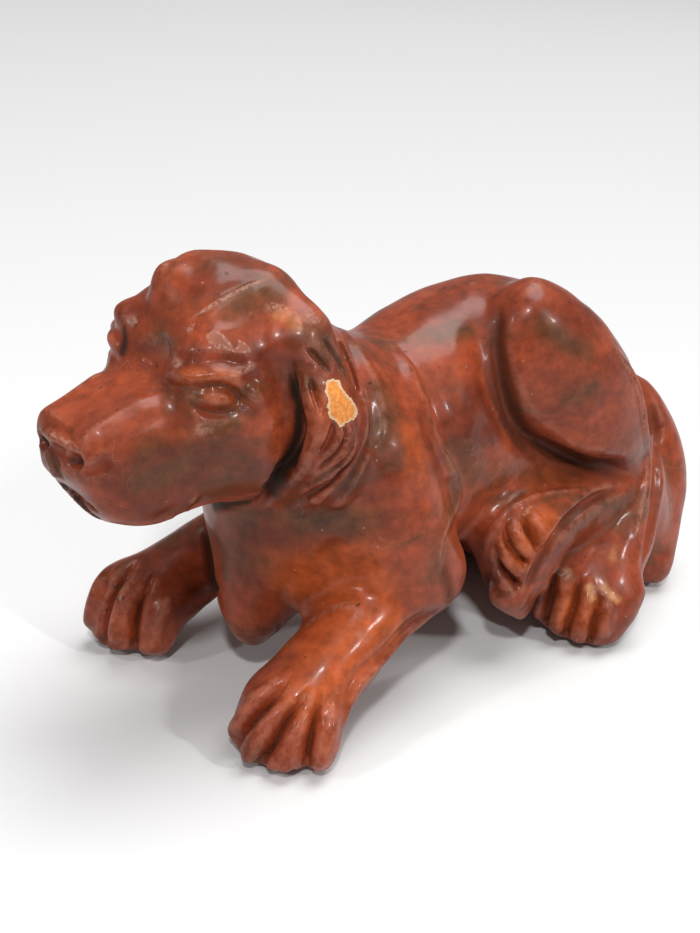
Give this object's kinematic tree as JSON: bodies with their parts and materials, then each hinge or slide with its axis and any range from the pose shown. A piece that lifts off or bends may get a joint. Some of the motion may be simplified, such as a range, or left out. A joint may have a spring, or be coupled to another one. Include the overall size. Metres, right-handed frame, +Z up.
{
  "type": "carved stone dog figurine",
  "caption": "Polished red-brown stone carving of a dog lying with its head up, fore legs stretched forwards, hips rolled to one side and tail curled round the haunch.",
  "frame": {"origin": "on the ground, under the middle of the carving's box", "axes": "-X is forwards, towards the nose; -Y is the dog's left; +Z is up"},
  "size_m": [0.1404, 0.0668, 0.0779],
  "materials": {
    "stone": "polished red-brown aventurine stone with grey-brown bands, dark grime in the grooves and an orange chip on the left ear"
  },
  "bodies": {
    "root": {"carved_dog": "stone"}
  },
  "joints": []
}
